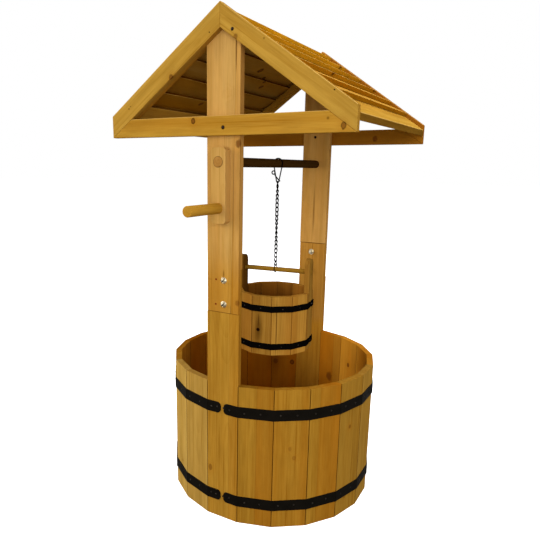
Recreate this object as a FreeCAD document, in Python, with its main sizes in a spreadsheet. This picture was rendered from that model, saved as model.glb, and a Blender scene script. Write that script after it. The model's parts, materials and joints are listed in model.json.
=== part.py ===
import FreeCAD, Part
import Sketcher
import math
import os

# Wishing well planter: a stave tub with two posts, a lapped slat roof, a crank, a chain and a bucket.
# Frame: the origin is the centre of the tub's foot and +Z is up.
# The crank is on the -Y side, and the ridge runs along Y.

doc = FreeCAD.newDocument("wishing_well_planter")
sizes = doc.addObject("Spreadsheet::Sheet", "Sizes")

# Driving dimensions in millimetres and degrees
DRIVING = {
    # Tub
    "tub_radius": 260.0,
    "tub_sides": 20,
    "tub_height": 342.0,
    "stave_thickness": 16.0,
    "joint_bevel": 0.8,
    "tub_hoop_width": 26.0,
    "hoop_thickness": 2.0,
    "upper_hoop_bottom": 269.0,
    "lower_hoop_bottom": 44.0,
    "hoop_gap": 8.0,
    "hoop_end_radius": 9.0,
    "batten_thickness": 18.0,
    "batten_width": 45.0,
    "batten_spacing": 150.0,
    "floor_thickness": 14.0,
    "floor_board_width": 78.0,
    "floor_board_gap": 2.5,
    "floor_board_count": 6,
    "floor_clearance": 0.5,
    # Posts and their bolted half laps
    "post_width": 78.0,
    "lap_bottom": 507.0,
    "lap_top": 605.0,
    "bolt_low": 526.0,
    "bolt_high": 579.0,
    "bolt_offset": 2.0,
    "bolt_diameter": 6.0,
    "bolt_end_proud": 2.0,
    "bolt_head_diameter": 14.8,
    "bolt_head_height": 4.2,
    "dome_turn": 50.0,
    "bolt_slot_width": 1.8,
    "bolt_slot_depth": 1.4,
    "nut_width": 10.0,
    "nut_height": 5.0,
    "washer_diameter": 16.0,
    "washer_thickness": 1.4,
    "hole_clearance": 0.06,
    "overrun": 1.0,
    # Roof
    "apex_height": 1125.0,
    "eave_height": 925.0,
    "gable_half_width": 283.0,
    "rafter_width": 38.0,
    "gable_thickness": 14.0,
    "tie_height": 38.5,
    "slat_thickness": 10.0,
    "slat_exposure": 52.0,
    "slat_lap": 12.0,
    "top_slat_exposure": 35.0,
    "lapped_slats": 6,
    "slat_end_gap": 0.5,
    "eave_board_lap": 16.0,
    "cleat_size": 14.0,
    # Windlass
    "axle_height": 827.0,
    "axle_diameter": 20.6,
    "arm_width": 35.0,
    "arm_above": 28.5,
    "arm_below": 124.6,
    "arm_thickness": 19.0,
    "arm_corner": 5.0,
    "arm_clearance": 1.0,
    "peg_drop": 93.0,
    "peg_diameter": 22.0,
    "peg_reach": 110.0,
    "axle_end_proud": 1.0,
    # Bucket
    "bucket_radius": 98.0,
    "bucket_sides": 12,
    "bucket_bottom": 365.0,
    "bucket_height": 148.0,
    "bucket_thickness": 13.0,
    "bucket_base_thickness": 12.0,
    "bucket_base_recess": 8.0,
    "bucket_turn": 7.0,
    "bucket_hoop_width": 15.5,
    "bucket_hoop_thickness": 1.6,
    "bucket_hoop_gap": 3.0,
    "bucket_hoop_end_radius": 5.0,
    "bucket_lower_hoop": 14.5,
    "bucket_upper_hoop": 109.5,
    "ear_width": 34.0,
    "ear_rise": 85.0,
    "ear_root": 20.0,
    "bar_height": 564.5,
    "bar_diameter": 12.0,
    # Chain, its hook and the ring round the bucket's bar
    "chain_wire": 2.2,
    "link_inner_length": 10.53,
    "link_inner_width": 4.0,
    "link_quarter": 90.0,
    "link_gap": 0.15,
    "link_count": 20,
    "link_turn_step": -17.0,
    "last_link_turn": -19.0,
    "link_bend_steps": 6,
    "link_sides": 6,
    "hook_wire": 2.6,
    "hook_clearance": 0.35,
    "hook_foot_radius": 3.3,
    "hook_curl_radius": 4.0,
    "hook_curl_across": 12.2,
    "hook_curl_drop": 22.0,
    "hook_bend_steps": 10,
    "ring_steps": 20,
    "wire_sides": 8,
    "ring_radius": 9.6,
    "ring_clearance": 0.3,
}

# Sizes worked out from the driving ones, written as the sheet's own formulas
DERIVED = {
    "tub_half_angle": "180 / tub_sides",
    "tub_apothem": "tub_radius * cos(tub_half_angle * 1 deg)",
    "stave_outer_width": "2 * tub_radius * sin(tub_half_angle * 1 deg)",
    "post_inner": "tub_apothem - stave_thickness",
    "lap_thickness": "stave_thickness / 2",
    "roof_angle": "atan((apex_height - eave_height) / gable_half_width) / 1 deg",
    "rafter_drop": "rafter_width / cos(roof_angle * 1 deg)",
    "gable_foot": "eave_height - rafter_drop",
    "gable_face": "tub_apothem + gable_thickness",
    "tie_top_half": "gable_half_width - tie_height / tan(roof_angle * 1 deg)",
    "slope_length": "gable_half_width / cos(roof_angle * 1 deg)",
    "slat_tilt": "asin(slat_thickness / slat_exposure) / 1 deg",
    "slat_drop": "(slat_exposure + slat_lap) * sin(slat_tilt * 1 deg)"
                 " + slat_thickness * cos(slat_tilt * 1 deg)",
    "slat_span": "2 * (tub_apothem - slat_end_gap)",
    "last_butt": "top_slat_exposure + (lapped_slats - 1) * slat_exposure",
    "cleat_start": "(post_width / 2 + slat_end_gap + (slat_drop + cleat_size) * sin(roof_angle * 1 deg))"
                   " / cos(roof_angle * 1 deg)",
    "arm_back": "tub_apothem + arm_clearance",
    "arm_face": "arm_back + arm_thickness",
    "bucket_half_angle": "180 / bucket_sides",
    "bucket_apothem": "bucket_radius * cos(bucket_half_angle * 1 deg)",
    "bucket_stave_outer": "2 * bucket_radius * sin(bucket_half_angle * 1 deg)",
    "link_pitch": "link_inner_length - link_gap",
    "ring_height": "bar_height - bar_diameter / 2 - ring_clearance + ring_radius - chain_wire / 2",
    "last_link_height": "ring_height + ring_radius - chain_wire - link_gap"
                        " + (link_inner_length + chain_wire) / 2",
    "first_link_height": "last_link_height + (link_count - 1) * link_pitch",
    "hook_foot": "first_link_height + (link_inner_length + chain_wire) / 2"
                 " - hook_wire / 2 - chain_wire / 2 - link_gap",
    "hook_radius": "axle_diameter / 2 + hook_clearance + hook_wire / 2",
}


def fill_sheet():
    """Put the driving numbers and the derived formulas into the sheet, each with its alias."""
    row = 1
    for alias, value in DRIVING.items():
        sizes.set(f"A{row}", alias.replace("_", " "))
        sizes.set(f"B{row}", str(value))
        sizes.setAlias(f"B{row}", alias)
        row += 1
    for alias, formula in DERIVED.items():
        sizes.set(f"A{row}", alias.replace("_", " "))
        sizes.set(f"B{row}", "=" + formula)
        sizes.setAlias(f"B{row}", alias)
        row += 1
    doc.recompute()


def size(formula):
    """The number that a formula of the sheet's aliases gives."""
    return float(sizes.evalExpression(formula))


def bound(formula):
    """The same formula as an object outside the sheet writes it."""
    words = []
    word = ""
    for letter in formula + " ":
        if letter.isalnum() or letter == "_":
            word += letter
            continue
        words.append("Sizes." + word if word in ALIASES else word)
        words.append(letter)
        word = ""
    return "".join(words).strip()


fill_sheet()
ALIASES = set(DRIVING) | set(DERIVED)
PARTS = []


def new_body(name):
    return doc.addObject("PartDesign::Body", name)


def origin_plane(body, role):
    return next(item for item in body.Origin.OriginFeatures if item.Role == role)


def new_sketch(body, role, name):
    sketch = body.newObject("Sketcher::SketchObject", name)
    sketch.AttachmentSupport = [(origin_plane(body, role), "")]
    sketch.MapMode = "FlatFace"
    return sketch


def pin(sketch, geometry, position, across, up):
    """Hold one point of a sketch at two formulas measured from the sketch's origin."""
    for kind, formula in (("DistanceX", across), ("DistanceY", up)):
        index = sketch.addConstraint(Sketcher.Constraint(kind, -1, 1, geometry, position, size(formula)))
        sketch.setExpression(f"Constraints[{index}]", bound(formula))


def polygon(body, role, name, corners):
    """A closed outline whose corners are pairs of formulas."""
    sketch = new_sketch(body, role, name)
    points = [FreeCAD.Vector(size(across), size(up), 0) for across, up in corners]
    count = len(points)
    for index in range(count):
        sketch.addGeometry(Part.LineSegment(points[index], points[(index + 1) % count]))
    for index in range(count):
        sketch.addConstraint(Sketcher.Constraint("Coincident", index, 2, (index + 1) % count, 1))
    for index, (across, up) in enumerate(corners):
        pin(sketch, index, 1, across, up)
    return sketch


def circle(body, role, name, across, up, diameter):
    sketch = new_sketch(body, role, name)
    centre = FreeCAD.Vector(size(across), size(up), 0)
    sketch.addGeometry(Part.Circle(centre, FreeCAD.Vector(0, 0, 1), size(diameter) / 2))
    pin(sketch, 0, 3, across, up)
    index = sketch.addConstraint(Sketcher.Constraint("Diameter", 0, size(diameter)))
    sketch.setExpression(f"Constraints[{index}]", bound(diameter))
    return sketch


def pad(body, sketch, length, reverse=False):
    feature = body.newObject("PartDesign::Pad", sketch.Name + "_pad")
    feature.Profile = sketch
    feature.setExpression("Length", bound(length))
    feature.Reversed = reverse
    return feature


def drill(body, role, name, across, up, diameter):
    """A round hole right through the body, square to one of its origin planes."""
    sketch = circle(body, role, name, across, up, diameter)
    hole = body.newObject("PartDesign::Pocket", name + "_cut")
    hole.Profile = sketch
    hole.Type = "ThroughAll"
    hole.Midplane = True
    return hole


def place(item, across="0", along="0", up="0", turn=None, axis=(0, 0, 1)):
    """Bind an object's placement to formulas; turn is an angle in degrees about axis."""
    if turn is not None:
        rotation = FreeCAD.Rotation(FreeCAD.Vector(*axis), size(turn))
        item.Placement = FreeCAD.Placement(FreeCAD.Vector(), rotation)
        item.setExpression(".Placement.Rotation.Angle", bound("(" + turn + ") * 1 deg"))
    for letter, formula in (("x", across), ("y", along), ("z", up)):
        item.setExpression(f".Placement.Base.{letter}", bound(formula))
    return item


def finish_part(item, label):
    item.Label = label
    PARTS.append(item)
    return item


def group(label, members):
    """One node for identical loose pieces, each still a solid of its own."""
    compound = doc.addObject("Part::Compound", label + "_group")
    compound.Links = members
    return finish_part(compound, label)


# Staves and hoops, for the tub's ring of twenty and the bucket's ring of twelve

TUB = {"half_angle": "tub_half_angle", "apothem": "tub_apothem", "radius": "tub_radius",
       "width": "stave_outer_width", "thickness": "stave_thickness", "sides": DRIVING["tub_sides"],
       "hoop_thickness": "hoop_thickness", "hoop_width": "tub_hoop_width", "gap": "hoop_gap",
       "end_radius": "hoop_end_radius"}
BUCKET = {"half_angle": "bucket_half_angle", "apothem": "bucket_apothem", "radius": "bucket_radius",
          "width": "bucket_stave_outer", "thickness": "bucket_thickness", "sides": DRIVING["bucket_sides"],
          "hoop_thickness": "bucket_hoop_thickness", "hoop_width": "bucket_hoop_width",
          "gap": "bucket_hoop_gap", "end_radius": "bucket_hoop_end_radius"}


def stave_section(body, name, ring, deep, shallow="0"):
    """Section of a stave whose outer face is at x = 0; its sides lean in so that it wedges its neighbours."""
    slope = f"tan({ring['half_angle']} * 1 deg)"
    rows = [(deep, "0"), (f"{shallow} + joint_bevel", "0"), (shallow, "joint_bevel")]
    width = ring["width"]
    sides = [(f"-({depth})", f"({width} / 2 - ({depth}) * {slope} - {bevel})") for depth, bevel in rows]
    corners = [(across, "-" + half) for across, half in sides]
    corners += [(across, half) for across, half in reversed(sides)]
    return polygon(body, "XY_Plane", name, corners)


def stand(body, ring, angle, up="0"):
    """Stand a stave in its ring, facing the given angle."""
    turn = f"({angle}) * 1 deg"
    return place(body, f"{ring['apothem']} * cos({turn})", f"{ring['apothem']} * sin({turn})", up, angle)


def hoop(label, ring, first_face, faces, up):
    """A steel strip bent at every stave joint, from the middle of one face round to that of another."""
    body = new_body(label)
    face_step = f"2 * {ring['half_angle']}"

    def corner(radius, step):
        angle = f"(({first_face} + {2 * step + 1} * {ring['half_angle']}) * 1 deg)"
        return f"{radius} * cos{angle}", f"{radius} * sin{angle}"

    def end(apothem, step, side):
        angle = f"(({first_face} + {step} * {face_step}) * 1 deg)"
        return (f"{apothem} * cos{angle} - {side} * {ring['gap']} / 2 * sin{angle}",
                f"{apothem} * sin{angle} + {side} * {ring['gap']} / 2 * cos{angle}")

    outer_apothem = f"({ring['apothem']} + {ring['hoop_thickness']})"
    outer_radius = f"({ring['radius']} + {ring['hoop_thickness']} / cos({ring['half_angle']} * 1 deg))"
    outside = [end(outer_apothem, 0, 1)] + [corner(outer_radius, step) for step in range(faces)]
    outside += [end(outer_apothem, faces, -1)]
    inside = [end(ring["apothem"], 0, 1)] + [corner(ring["radius"], step) for step in range(faces)]
    inside += [end(ring["apothem"], faces, -1)]
    strip = pad(body, polygon(body, "XY_Plane", label + "_path", outside + inside[::-1]), ring["hoop_width"])
    doc.recompute()
    tips = [FreeCAD.Vector(size(across), size(along), 0) for across, along in (inside[0], inside[-1])]
    thickness = size(ring["hoop_thickness"])
    tolerance = 0.01
    picked = []
    for index, edge in enumerate(strip.Shape.Edges, 1):
        middle = FreeCAD.Vector(edge.CenterOfMass.x, edge.CenterOfMass.y, 0)
        level = edge.BoundBox.ZLength < tolerance
        if level and min((middle - tip).Length for tip in tips) < thickness:
            picked.append(f"Edge{index}")
    rounding = body.newObject("PartDesign::Fillet", label + "_ends")
    rounding.Base = (strip, picked)
    rounding.setExpression("Radius", bound(ring["end_radius"]))
    return finish_part(place(body, up=up), label)


# Tub


def stave(name, turn):
    body = new_body(name)
    pad(body, stave_section(body, name + "_section", TUB, "stave_thickness"), "tub_height")
    return finish_part(stand(body, TUB, turn), name)


def bolt_holes(body, name):
    for level in ("low", "high"):
        drill(body, "YZ_Plane", f"{name}_hole_{level}", "bolt_offset", f"bolt_{level}",
              "bolt_diameter + 2 * hole_clearance")


def lower_post(name, turn):
    """A long stave that rises above the rim and ends in the inner half of the lap."""
    body = new_body(name)
    pad(body, stave_section(body, name + "_section", TUB, "stave_thickness"), "lap_bottom")
    tongue = stave_section(body, name + "_tongue", TUB, "stave_thickness", "lap_thickness")
    pad(body, tongue, "lap_top")
    bolt_holes(body, name)
    return finish_part(stand(body, TUB, turn), name)


def make_tub():
    turn_step = 360 / DRIVING["tub_sides"]
    number = 0
    for side in range(DRIVING["tub_sides"]):
        angle = -90 + side * turn_step
        if angle == -90:
            lower_post("front_lower_post", "-90")
        elif angle == 90:
            lower_post("rear_lower_post", "90")
        else:
            number += 1
            stave(f"stave_{number:02d}", str(angle))


def make_tub_hoops():
    half = DRIVING["tub_sides"] // 2
    for level in ("upper", "lower"):
        hoop(f"{level}_hoop_right", TUB, "-90", half, f"{level}_hoop_bottom")
        hoop(f"{level}_hoop_left", TUB, "90", half, f"{level}_hoop_bottom")


def prism(name, sides, radius, height, bottom, turn):
    shape = doc.addObject("Part::Prism", name)
    shape.Polygon = sides
    shape.setExpression("Circumradius", bound(radius))
    shape.setExpression("Height", bound(height))
    return place(shape, up=bottom, turn=turn)


def box(name, length, width, height):
    shape = doc.addObject("Part::Box", name)
    shape.setExpression("Length", bound(length))
    shape.setExpression("Width", bound(width))
    shape.setExpression("Height", bound(height))
    return shape


def common(name, first, second):
    shape = doc.addObject("Part::Common", name)
    shape.Base = first
    shape.Tool = second
    return shape


def make_floor():
    """Slatted floor on three battens; the middle batten lies across the tub's centre."""
    inside = "(post_inner - floor_clearance) / cos(tub_half_angle * 1 deg)"
    boards = []
    count = DRIVING["floor_board_count"]
    for index in range(count):
        board = box(f"floor_plank_{index}", "2 * tub_radius", "floor_board_width", "floor_thickness")
        place(board, "-tub_radius", f"({index - count / 2}) * (floor_board_width + floor_board_gap)"
              " + floor_board_gap / 2", "batten_thickness")
        limit = prism(f"floor_limit_{index}", TUB["sides"], inside, "floor_thickness", "batten_thickness",
                      "tub_half_angle")
        boards.append(common(f"floor_board_{index}", board, limit))
    group("floor_boards", boards)
    battens = []
    for index in (-1, 0, 1):
        batten = box(f"batten_blank_{index + 1}", "batten_width", "2 * tub_radius", "batten_thickness")
        place(batten, f"{index} * batten_spacing - batten_width / 2", "-tub_radius", "0")
        limit = prism(f"batten_limit_{index + 1}", TUB["sides"], inside, "batten_thickness", "0",
                      "tub_half_angle")
        battens.append(common(f"batten_{index + 1}", batten, limit))
    group("floor_battens", battens)


# Posts


def upper_post(name, turn):
    """A board whose lower end is the outer half of the lap; its head follows the roof's slope."""
    body = new_body(name)
    head = "(apex_height - slat_drop / cos(roof_angle * 1 deg))"
    shoulder = f"{head} - post_width / 2 * tan(roof_angle * 1 deg)"
    outline = [("-post_width / 2", "lap_top"), ("post_width / 2", "lap_top"), ("post_width / 2", shoulder),
               ("0", head), ("-post_width / 2", shoulder)]
    upper = polygon(body, "YZ_Plane", name + "_board", outline)
    pad(body, upper, "stave_thickness", reverse=True)
    outline = [("-post_width / 2", "lap_bottom"), ("post_width / 2", "lap_bottom"),
               ("post_width / 2", "lap_top + overrun"), ("-post_width / 2", "lap_top + overrun")]
    pad(body, polygon(body, "YZ_Plane", name + "_tongue", outline), "lap_thickness", reverse=True)
    bolt_holes(body, name)
    drill(body, "YZ_Plane", name + "_bearing", "0", "axle_height", "axle_diameter + 2 * hole_clearance")
    return finish_part(stand(body, TUB, turn), name)


def carriage_bolt(name, side, level):
    """Domed, slotted head outside and a shank through the lap, turned about its own axis."""
    body = new_body(name)
    radius = "bolt_head_diameter / 2"
    shank = "bolt_diameter / 2"
    length = "(stave_thickness + washer_thickness + nut_height + bolt_end_proud)"
    outline = [("0", f"-{length}"), (shank, f"-{length}"), (shank, "0"), (radius, "0"),
               (f"{radius} * cos(dome_turn * 1 deg)", "bolt_head_height * sin(dome_turn * 1 deg)"),
               ("0", "bolt_head_height")]
    profile = polygon(body, "XY_Plane", name + "_profile", outline)
    turned = body.newObject("PartDesign::Revolution", name + "_turned")
    turned.Profile = profile
    turned.ReferenceAxis = (profile, ["V_Axis"])
    turned.Angle = 360
    slot_bottom = "bolt_head_height - bolt_slot_depth"
    slot_top = "bolt_head_height + overrun"
    slot = [("-bolt_slot_width / 2", slot_bottom), ("bolt_slot_width / 2", slot_bottom),
            ("bolt_slot_width / 2", slot_top), ("-bolt_slot_width / 2", slot_top)]
    cut = body.newObject("PartDesign::Pocket", name + "_slot")
    cut.Profile = polygon(body, "XY_Plane", name + "_slot_outline", slot)
    cut.Type = "ThroughAll"
    cut.Midplane = True
    turn = "180" if side < 0 else "0"
    return place(body, f"{-side} * bolt_offset", f"{side} * tub_apothem", level, turn)


def lock_nut(name, side, level):
    """Hexagon nut on a washer, bearing on the post's inner face."""
    washer = doc.addObject("Part::Cylinder", name + "_washer")
    washer.setExpression("Radius", bound("washer_diameter / 2"))
    washer.setExpression("Height", bound("washer_thickness"))
    nut = doc.addObject("Part::Prism", name + "_nut")
    nut.Polygon = 6
    nut.setExpression("Circumradius", bound("nut_width / 2 / cos(30 deg)"))
    nut.setExpression("Height", bound("nut_height"))
    place(nut, up="washer_thickness")
    both = doc.addObject("Part::Fuse", name + "_both")
    both.Base = washer
    both.Tool = nut
    bore = doc.addObject("Part::Cylinder", name + "_bore")
    bore.setExpression("Radius", bound("bolt_diameter / 2 + hole_clearance"))
    bore.setExpression("Height", bound("washer_thickness + nut_height"))
    bored = doc.addObject("Part::Cut", name + "_bored")
    bored.Base = both
    bored.Tool = bore
    quarter = "90" if side > 0 else "-90"
    return place(bored, f"{-side} * bolt_offset", f"{side} * post_inner", level, quarter, (1, 0, 0))


def make_posts():
    upper_post("front_upper_post", "-90")
    upper_post("rear_upper_post", "90")
    bolts = []
    nuts = []
    for side, place_name in ((-1, "front"), (1, "rear")):
        for level in ("low", "high"):
            bolts.append(carriage_bolt(f"bolt_{place_name}_{level}", side, f"bolt_{level}"))
            nuts.append(lock_nut(f"nut_{place_name}_{level}", side, f"bolt_{level}"))
    group("post_bolts", bolts)
    group("post_nuts", nuts)


# Roof


def gable_board(label, outline, front):
    """A board of one gable, drawn as seen from the front; thickness goes outwards from the posts."""
    body = new_body(label)
    board = polygon(body, "XZ_Plane", label + "_outline", outline)
    pad(body, board, "gable_thickness")
    return finish_part(place(body, along="-tub_apothem" if front else "gable_face"), label)


def make_gables():
    for where in ("front", "rear"):
        for hand, sign in (("right", ""), ("left", "-")):
            outline = [("0", "apex_height - rafter_drop"), (f"{sign}gable_half_width", "gable_foot"),
                       (f"{sign}gable_half_width", "eave_height"), ("0", "apex_height")]
            gable_board(f"{where}_rafter_{hand}", outline, where == "front")
        tie = [("-gable_half_width", "gable_foot"), ("gable_half_width", "gable_foot"),
               ("tie_top_half", "gable_foot + tie_height"), ("-tie_top_half", "gable_foot + tie_height")]
        gable_board(f"{where}_tie", tie, where == "front")


def on_slope(down, out):
    """Formulas for a point that lies down the slope from the apex, and out of the roof's plane."""
    angle = "(roof_angle * 1 deg)"
    across = f"({down}) * cos{angle} + ({out}) * sin{angle}"
    up = f"apex_height - ({down}) * sin{angle} + ({out}) * cos{angle}"
    return across, up


def roof_board(name, outline, hand, length="slat_span", front="slat_span / 2"):
    """A board along the ridge, drawn on the right-hand slope; the left one is the same turned round."""
    body = new_body(name)
    pad(body, polygon(body, "XZ_Plane", name + "_outline", outline), length)
    if hand == "right":
        return place(body, along=f"{length} - ({front})")
    return place(body, along=f"-({front})", turn="180")


def slat_outline(index):
    """Section of one lapped slat: its butt stands on the slat below, its top goes under the one above."""
    butt = f"(top_slat_exposure + {index} * slat_exposure)"
    tilt = "(slat_tilt * 1 deg)"
    if index == 0:
        sink = f"top_slat_exposure * sin{tilt}"
        ridge = f"apex_height - {sink} / cos((roof_angle - slat_tilt) * 1 deg)"
        under = f"apex_height - ({sink} + slat_thickness) / cos((roof_angle - slat_tilt) * 1 deg)"
        foot = on_slope(f"{butt} - slat_thickness * sin{tilt}", f"-slat_thickness * cos{tilt}")
        return [("0", under), foot, on_slope(butt, "0"), ("0", ridge)]
    length = "(slat_exposure + slat_lap)"
    return [
        on_slope(butt, "0"),
        on_slope(f"{butt} - {length} * cos{tilt}", f"-{length} * sin{tilt}"),
        on_slope(f"{butt} - {length} * cos{tilt} - slat_thickness * sin{tilt}",
                 f"-{length} * sin{tilt} - slat_thickness * cos{tilt}"),
        on_slope(f"{butt} - slat_thickness * sin{tilt}", f"-slat_thickness * cos{tilt}"),
    ]


def eave_outline():
    """The lowest board lies flat on the cleats with a plumb outer edge; a bevel seats the slat above it."""
    start = "(last_butt - eave_board_lap)"
    slope = "cos(roof_angle * 1 deg)"
    tilt = "(slat_tilt * 1 deg)"
    return [
        on_slope(start, f"-eave_board_lap * tan{tilt} - slat_thickness / cos{tilt}"),
        on_slope(start, "-slat_drop"),
        ("gable_half_width", f"eave_height - slat_drop / {slope}"),
        ("gable_half_width", f"eave_height - slat_thickness * cos{tilt} / {slope}"),
        on_slope(f"last_butt - slat_thickness * sin{tilt}", f"-slat_thickness * cos{tilt}"),
    ]


def cleat_outline():
    """A batten under the slats, nailed along the inside of a rafter."""
    end = "(slope_length - eave_board_lap)"
    return [on_slope("cleat_start", "-slat_drop"), on_slope("cleat_start", "-slat_drop - cleat_size"),
            on_slope(end, "-slat_drop - cleat_size"), on_slope(end, "-slat_drop")]


def make_roof():
    cleats = []
    for hand in ("right", "left"):
        slats = []
        for index in range(DRIVING["lapped_slats"]):
            slats.append(roof_board(f"slat_{hand}_{index}", slat_outline(index), hand))
        group(f"roof_slats_{hand}", slats)
        finish_part(roof_board(f"eave_{hand}", eave_outline(), hand), f"eave_board_{hand}")
        for where, front in (("front", "tub_apothem"), ("rear", "cleat_size - tub_apothem")):
            cleats.append(roof_board(f"cleat_{where}_{hand}", cleat_outline(), hand, "cleat_size", front))
    group("roof_cleats", cleats)


# Windlass


def dowel(label, diameter, length, along, up):
    """A round bar that runs towards +Y from the given place."""
    bar = doc.addObject("Part::Cylinder", label + "_bar")
    bar.setExpression("Radius", bound(f"({diameter}) / 2"))
    bar.setExpression("Height", bound(length))
    return finish_part(place(bar, along=along, up=up, turn="-90", axis=(1, 0, 0)), label)


def make_windlass():
    dowel("axle", "axle_diameter", "arm_face + axle_end_proud + tub_apothem", "-(arm_face + axle_end_proud)",
          "axle_height")
    dowel("crank_peg", "peg_diameter", "arm_thickness + peg_reach", "-(arm_face + peg_reach)",
          "axle_height - peg_drop")
    body = new_body("crank_arm_board")
    half = "arm_width / 2"
    inset = "(arm_width / 2 - arm_corner)"
    outline = [(f"-{inset}", "-arm_below"), (inset, "-arm_below"), (half, "arm_corner - arm_below"),
               (half, "arm_above - arm_corner"), (inset, "arm_above"), (f"-{inset}", "arm_above"),
               (f"-{half}", "arm_above - arm_corner"), (f"-{half}", "arm_corner - arm_below")]
    pad(body, polygon(body, "XZ_Plane", "crank_arm_outline", outline), "arm_thickness")
    drill(body, "XZ_Plane", "axle_socket", "0", "0", "axle_diameter")
    drill(body, "XZ_Plane", "peg_socket", "0", "-peg_drop", "peg_diameter")
    finish_part(place(body, along="-arm_back", up="axle_height"), "crank_arm")


# Chain and hook


def bent_wire(name, corners, diameter, sides):
    """A closed wire that runs straight from corner to corner, in flat three-cornered facets between the
    many-sided sections at its corners."""
    rings = []
    middle = sum(corners, FreeCAD.Vector()) / len(corners)
    for index, corner in enumerate(corners):
        along = (corners[(index + 1) % len(corners)] - corners[index - 1]).normalize()
        out = corner - middle
        out = (out - along * out.dot(along)).normalize()
        side = along.cross(out)
        points = []
        for step in range(sides):
            angle = 2 * math.pi * step / sides
            points.append(corner + (out * math.cos(angle) + side * math.sin(angle)) * diameter / 2)
        rings.append(points)
    facets = []
    for ring, following in zip(rings, rings[1:] + rings[:1]):
        for step in range(sides):
            after = (step + 1) % sides
            first = (ring[step], ring[after], following[after], ring[step])
            second = (ring[step], following[after], following[step], ring[step])
            facets.append(Part.Face(Part.makePolygon(first)))
            facets.append(Part.Face(Part.makePolygon(second)))
    skin = Part.makeShell(facets)
    skin.sewShape()
    wire = doc.addObject("Part::Feature", name)
    wire.Shape = Part.makeSolid(skin)
    return wire


def arc_corners(centre_height, radius, start, end, steps):
    """Corners on an arc in the XZ plane; angles in radians from +X towards +Z."""
    corners = []
    for step in range(steps + 1):
        angle = start + (end - start) * step / steps
        corners.append(FreeCAD.Vector(radius * math.cos(angle), 0, centre_height + radius * math.sin(angle)))
    return corners


def chain_link(name):
    """An oval of wire with a quarter turn along its length, so that the links hang flat one below another."""
    bend = size("(link_inner_width + chain_wire) / 2")
    reach = size("(link_inner_length + chain_wire) / 2")
    steps = DRIVING["link_bend_steps"]
    oval = arc_corners(reach - bend, bend, 0, math.pi, steps)
    oval += arc_corners(bend - reach, bend, math.pi, 2 * math.pi, steps)
    corners = []
    for corner in oval:
        turn = FreeCAD.Rotation(FreeCAD.Vector(0, 0, 1), -size("link_quarter") / 2 * corner.z / reach)
        corners.append(turn.multVec(corner))
    return bent_wire(name, corners, size("chain_wire"), DRIVING["link_sides"])


def make_chain():
    """Links hung one in another, each turned a little more than the one below it."""
    links = []
    for index in range(DRIVING["link_count"]):
        turn = f"last_link_turn - (link_count - 1 - {index}) * link_turn_step"
        link = chain_link(f"link_{index:02d}")
        links.append(place(link, up=f"first_link_height - {index} * link_pitch", turn=turn))
    group("chain", links)


def make_hook():
    """A wire loop over the axle that narrows to a foot for the first link, with its end curled outwards."""
    top = size("axle_height")
    radius = size("hook_radius")
    foot = size("hook_foot + hook_foot_radius")
    foot_radius = size("hook_foot_radius")
    steps = DRIVING["hook_bend_steps"]
    lean = math.asin((radius - foot_radius) / (top - foot))
    corners = arc_corners(top, radius, -lean, math.pi + lean, 2 * steps)
    corners += arc_corners(foot, foot_radius, math.pi + lean, 2 * math.pi - lean, steps // 2)
    loop = bent_wire("hook_loop", corners, size("hook_wire"), DRIVING["wire_sides"])
    ring = arc_corners(size("axle_height - hook_curl_drop"), size("hook_curl_radius"), 0, 2 * math.pi, steps)
    aside = FreeCAD.Vector(-size("hook_curl_across"), 0, 0)
    curl = bent_wire("hook_curl", [corner + aside for corner in ring[:-1]], size("hook_wire"),
                     DRIVING["wire_sides"])
    hook = doc.addObject("Part::Fuse", "hook_with_curl")
    hook.Base = loop
    hook.Tool = curl
    finish_part(hook, "chain_hook")


def make_bail_ring():
    """The ring that holds the bucket's bar; it stands square to the bar."""
    corners = arc_corners(0, size("ring_radius"), 0, 2 * math.pi, DRIVING["ring_steps"])[:-1]
    ring = bent_wire("bail_ring_wire", corners, size("chain_wire"), DRIVING["wire_sides"])
    finish_part(place(ring, up="ring_height", turn="bucket_turn + 90"), "bail_ring")


# Bucket


def bucket_stave(name, turn):
    body = new_body(name)
    pad(body, stave_section(body, name + "_section", BUCKET, "bucket_thickness"), "bucket_height")
    return stand(body, BUCKET, turn, "bucket_bottom")


def bucket_ear(label, turn):
    """A long stave, cut narrower above the rim and rounded at the top, bored for the bar."""
    body = new_body(label)
    pad(body, stave_section(body, label + "_section", BUCKET, "bucket_thickness"), "bucket_height")
    ear = new_sketch(body, "YZ_Plane", label + "_outline")
    half = size("ear_width / 2")
    low = size("bucket_height - ear_root")
    high = size("bucket_height + ear_rise - ear_width / 2")
    centre = FreeCAD.Vector(0, high, 0)
    sides = ((-half, high), (-half, low), (half, low), (half, high))
    corners = [FreeCAD.Vector(across, up, 0) for across, up in sides]
    for start, end in zip(corners, corners[1:]):
        ear.addGeometry(Part.LineSegment(start, end))
    ear.addGeometry(Part.ArcOfCircle(Part.Circle(centre, FreeCAD.Vector(0, 0, 1), half), 0, math.pi))
    for first, second in ((0, 1), (1, 2)):
        ear.addConstraint(Sketcher.Constraint("Coincident", first, 2, second, 1))
    for first, second in ((2, 3), (3, 0)):
        ear.addConstraint(Sketcher.Constraint("Tangent", first, 2, second, 1))
    pin(ear, 1, 1, "-ear_width / 2", "bucket_height - ear_root")
    pin(ear, 1, 2, "ear_width / 2", "bucket_height - ear_root")
    pin(ear, 3, 3, "0", "bucket_height + ear_rise - ear_width / 2")
    ear.addConstraint(Sketcher.Constraint("Vertical", 2))
    pad(body, ear, "bucket_thickness", reverse=True)
    drill(body, "YZ_Plane", label + "_socket", "0", "bar_height - bucket_bottom", "bar_diameter")
    finish_part(stand(body, BUCKET, turn, "bucket_bottom"), label)


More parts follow.
